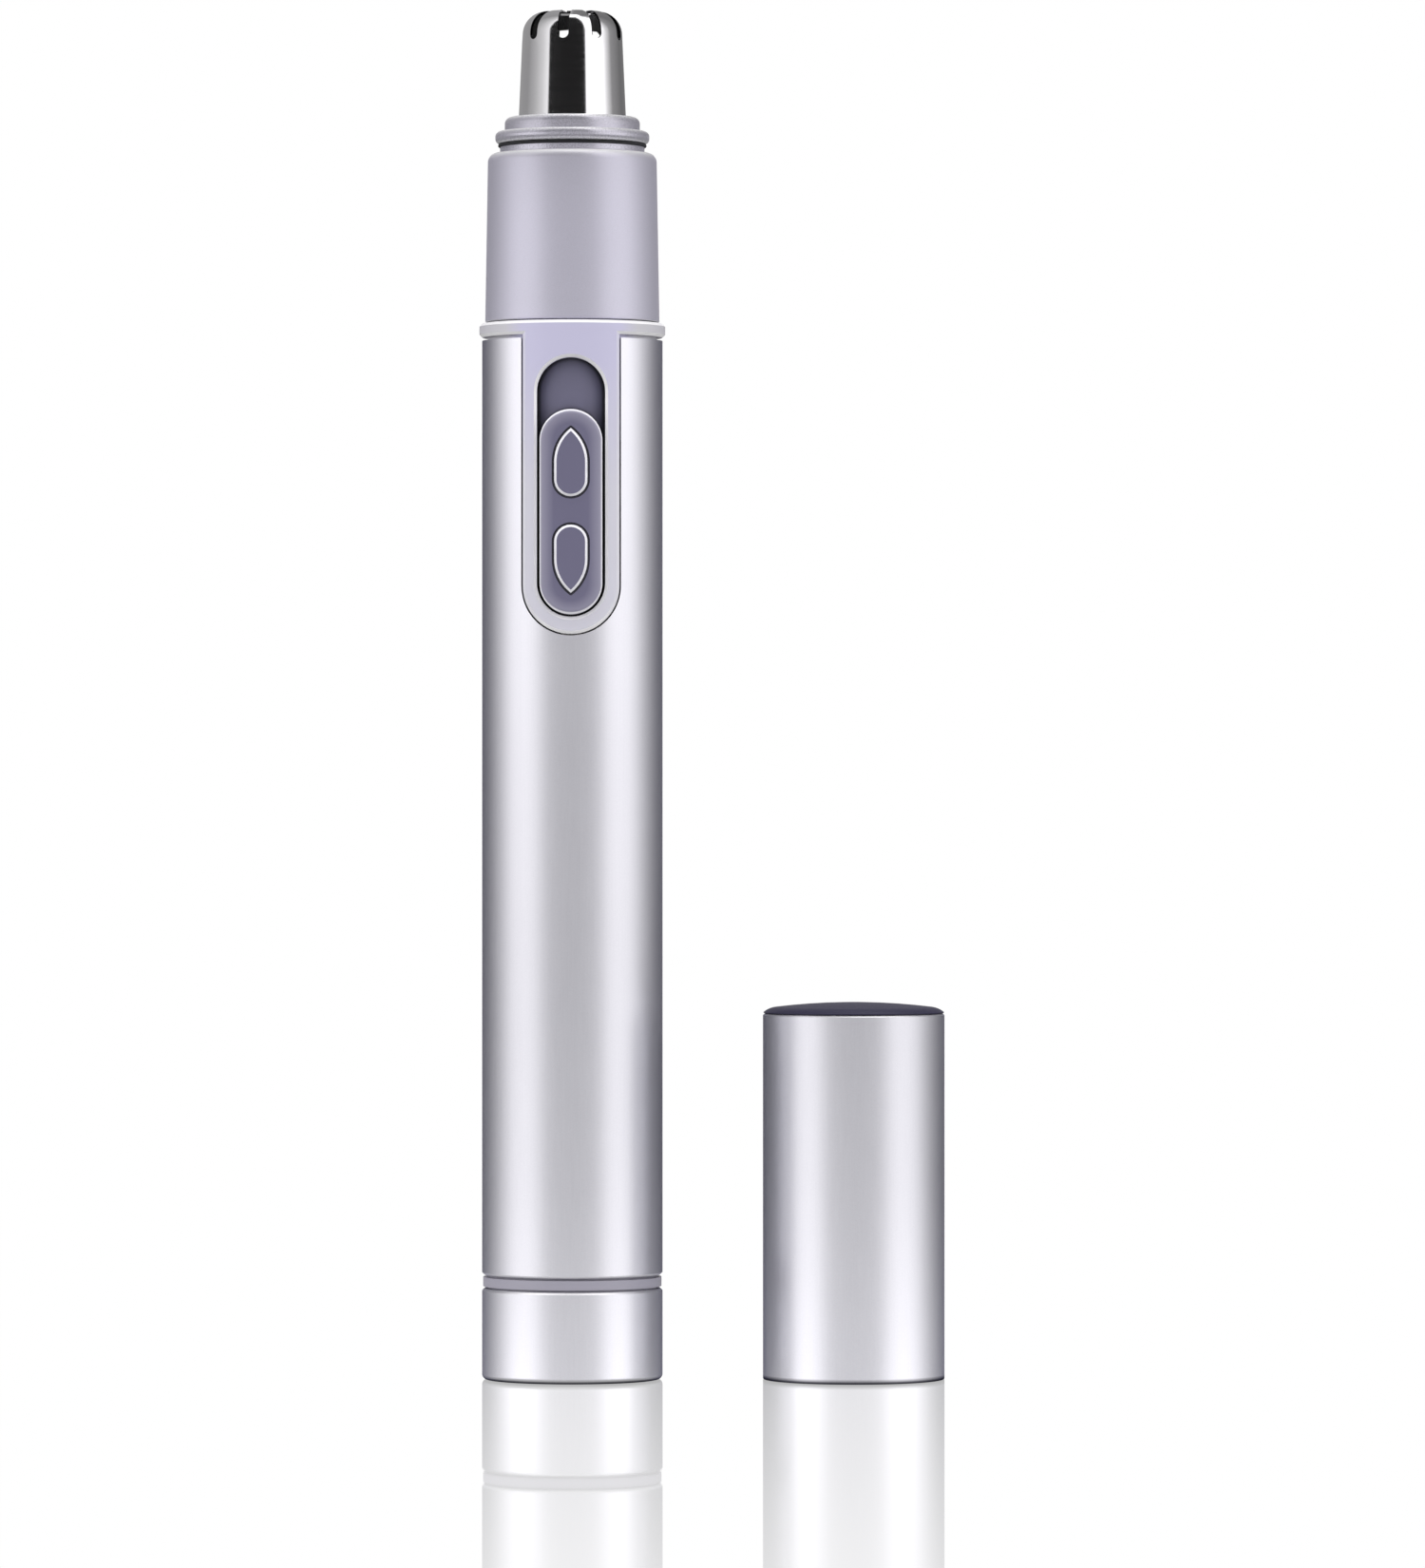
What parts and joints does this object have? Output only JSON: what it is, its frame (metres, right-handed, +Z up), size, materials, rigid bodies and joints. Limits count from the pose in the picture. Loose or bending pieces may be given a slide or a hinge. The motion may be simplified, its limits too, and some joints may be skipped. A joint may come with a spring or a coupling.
{
  "type": "nose hair trimmer",
  "caption": "Battery nose hair trimmer: slim aluminium tube handle with a front slide switch, slotted steel cutter head on a tapered nose, and a loose cylindrical cap.",
  "frame": {"origin": "centre of the trimmer's flat base, where it stands", "axes": "+Z up along the trimmer's axis to the cutter, -Y out of the side with the switch, +X towards the loose cap"},
  "size_m": [0.0438, 0.0182, 0.1287],
  "materials": {
    "anodised_aluminium": "satin anodised, fine brushed grain along the tube",
    "lavender_plastic": "smooth pale lavender ABS",
    "band_plastic": "grey-lavender ABS, satin",
    "housing_paint": "metallic lavender-grey paint on ABS, satin",
    "slot_plastic": "dark slate, satin",
    "button_plastic": "slate lavender, satin",
    "ring_plastic": "pale grey-lavender ABS",
    "gasket_rubber": "black, matte",
    "plug_plastic": "dark navy, satin",
    "liner_plastic": "pale grey",
    "frame_plastic": "natural white ABS",
    "stem_plastic": "natural acetal",
    "bearing_plastic": "black acetal",
    "coupler_plastic": "white acetal",
    "bell_plastic": "white nylon",
    "plated_contact": "nickel-plated spring strip",
    "spring_steel": "drawn wire",
    "battery_steel": "nickel-plated can",
    "battery_label": "shrink sleeve, no lettering",
    "battery_paper": "insulating washer",
    "motor_steel": "zinc plated",
    "magnet": "ferrite",
    "brass": "plain",
    "sintered_bronze": "oiled sintered bush",
    "screw_steel": "zinc plated",
    "polished_steel": "polished stainless",
    "blade_steel": "ground stainless",
    "core_steel": "stacked laminations",
    "copper_wire": "enamelled copper wire"
  },
  "bodies": {
    "battery_cover": {"cover_shell": "anodised_aluminium", "cover_insert": "band_plastic", "cover_contact": "plated_contact", "battery_spring": "spring_steel"},
    "battery": {"battery_can": "battery_steel", "battery_jacket": "battery_label", "battery_washer": "battery_paper", "battery_positive_cap": "battery_steel"},
    "handle": {"body_tube": "anodised_aluminium", "collar": "lavender_plastic", "nose_housing": "housing_paint", "inner_frame": "frame_plastic", "switch_plate": "slot_plastic", "positive_contact": "plated_contact", "motor_strip": "plated_contact", "negative_strip": "plated_contact", "motor_can": "motor_steel", "motor_magnet_left": "magnet", "motor_magnet_right": "magnet", "motor_end_bell": "bell_plastic", "motor_terminal_positive": "brass", "motor_terminal_negative": "brass", "motor_brush_positive": "brass", "motor_brush_negative": "brass", "motor_front_bush": "sintered_bronze", "motor_rear_bush": "sintered_bronze", "motor_screws": "screw_steel"},
    "motor_rotor": {"motor_shaft": "polished_steel", "motor_core": "core_steel", "motor_winding_1": "copper_wire", "motor_winding_2": "copper_wire", "motor_winding_3": "copper_wire", "motor_commutator": "brass", "drive_coupler": "coupler_plastic"},
    "cutter_head": {"head_ring": "ring_plastic", "head_gasket": "gasket_rubber", "guard": "polished_steel", "blade_bearing": "bearing_plastic"},
    "blade": {"blade_stem": "stem_plastic", "blade_clip": "spring_steel", "blade_spring": "spring_steel", "cutter_blades": "blade_steel"},
    "switch": {"switch_button": "button_plastic", "switch_carriage": "stem_plastic", "switch_bridge": "plated_contact"},
    "cap": {"cap_shell": "anodised_aluminium", "cap_liner": "liner_plastic", "cap_plug": "plug_plastic"}
  },
  "joints": [
    {"name": "handle_slide", "type": "slide", "parent": "battery_cover", "child": "handle", "axis": [0, 0, 1], "range_m": [0, 0.07]},
    {"name": "battery_slide", "type": "slide", "parent": "battery_cover", "child": "battery", "axis": [0, 0, 1], "range_m": [0, 0.0175]},
    {"name": "switch_slide", "type": "slide", "parent": "handle", "child": "switch", "axis": [0, 0, 1], "range_m": [0, 0.0045]},
    {"name": "head_lift", "type": "slide", "parent": "handle", "child": "cutter_head", "axis": [0, 0, 1], "range_m": [0, 0.02]},
    {"name": "motor_spin", "type": "hinge", "parent": "handle", "child": "motor_rotor", "pos_m": [0, 0, 0.1], "axis": [0, 0, 1], "continuous": true},
    {"name": "blade_spin", "type": "hinge", "parent": "cutter_head", "child": "blade", "pos_m": [0, 0, 0.12], "axis": [0, 0, 1], "continuous": true},
    {"name": "cap_lift", "type": "slide", "parent": "battery_cover", "child": "cap", "axis": [0, 0, 1], "range_m": [0, 0.135]}
  ],
  "couplings": [
    {"joint": "battery_slide", "follows": "handle_slide", "ratio": 0.25},
    {"joint": "blade_spin", "follows": "motor_spin", "ratio": 1}
  ]
}
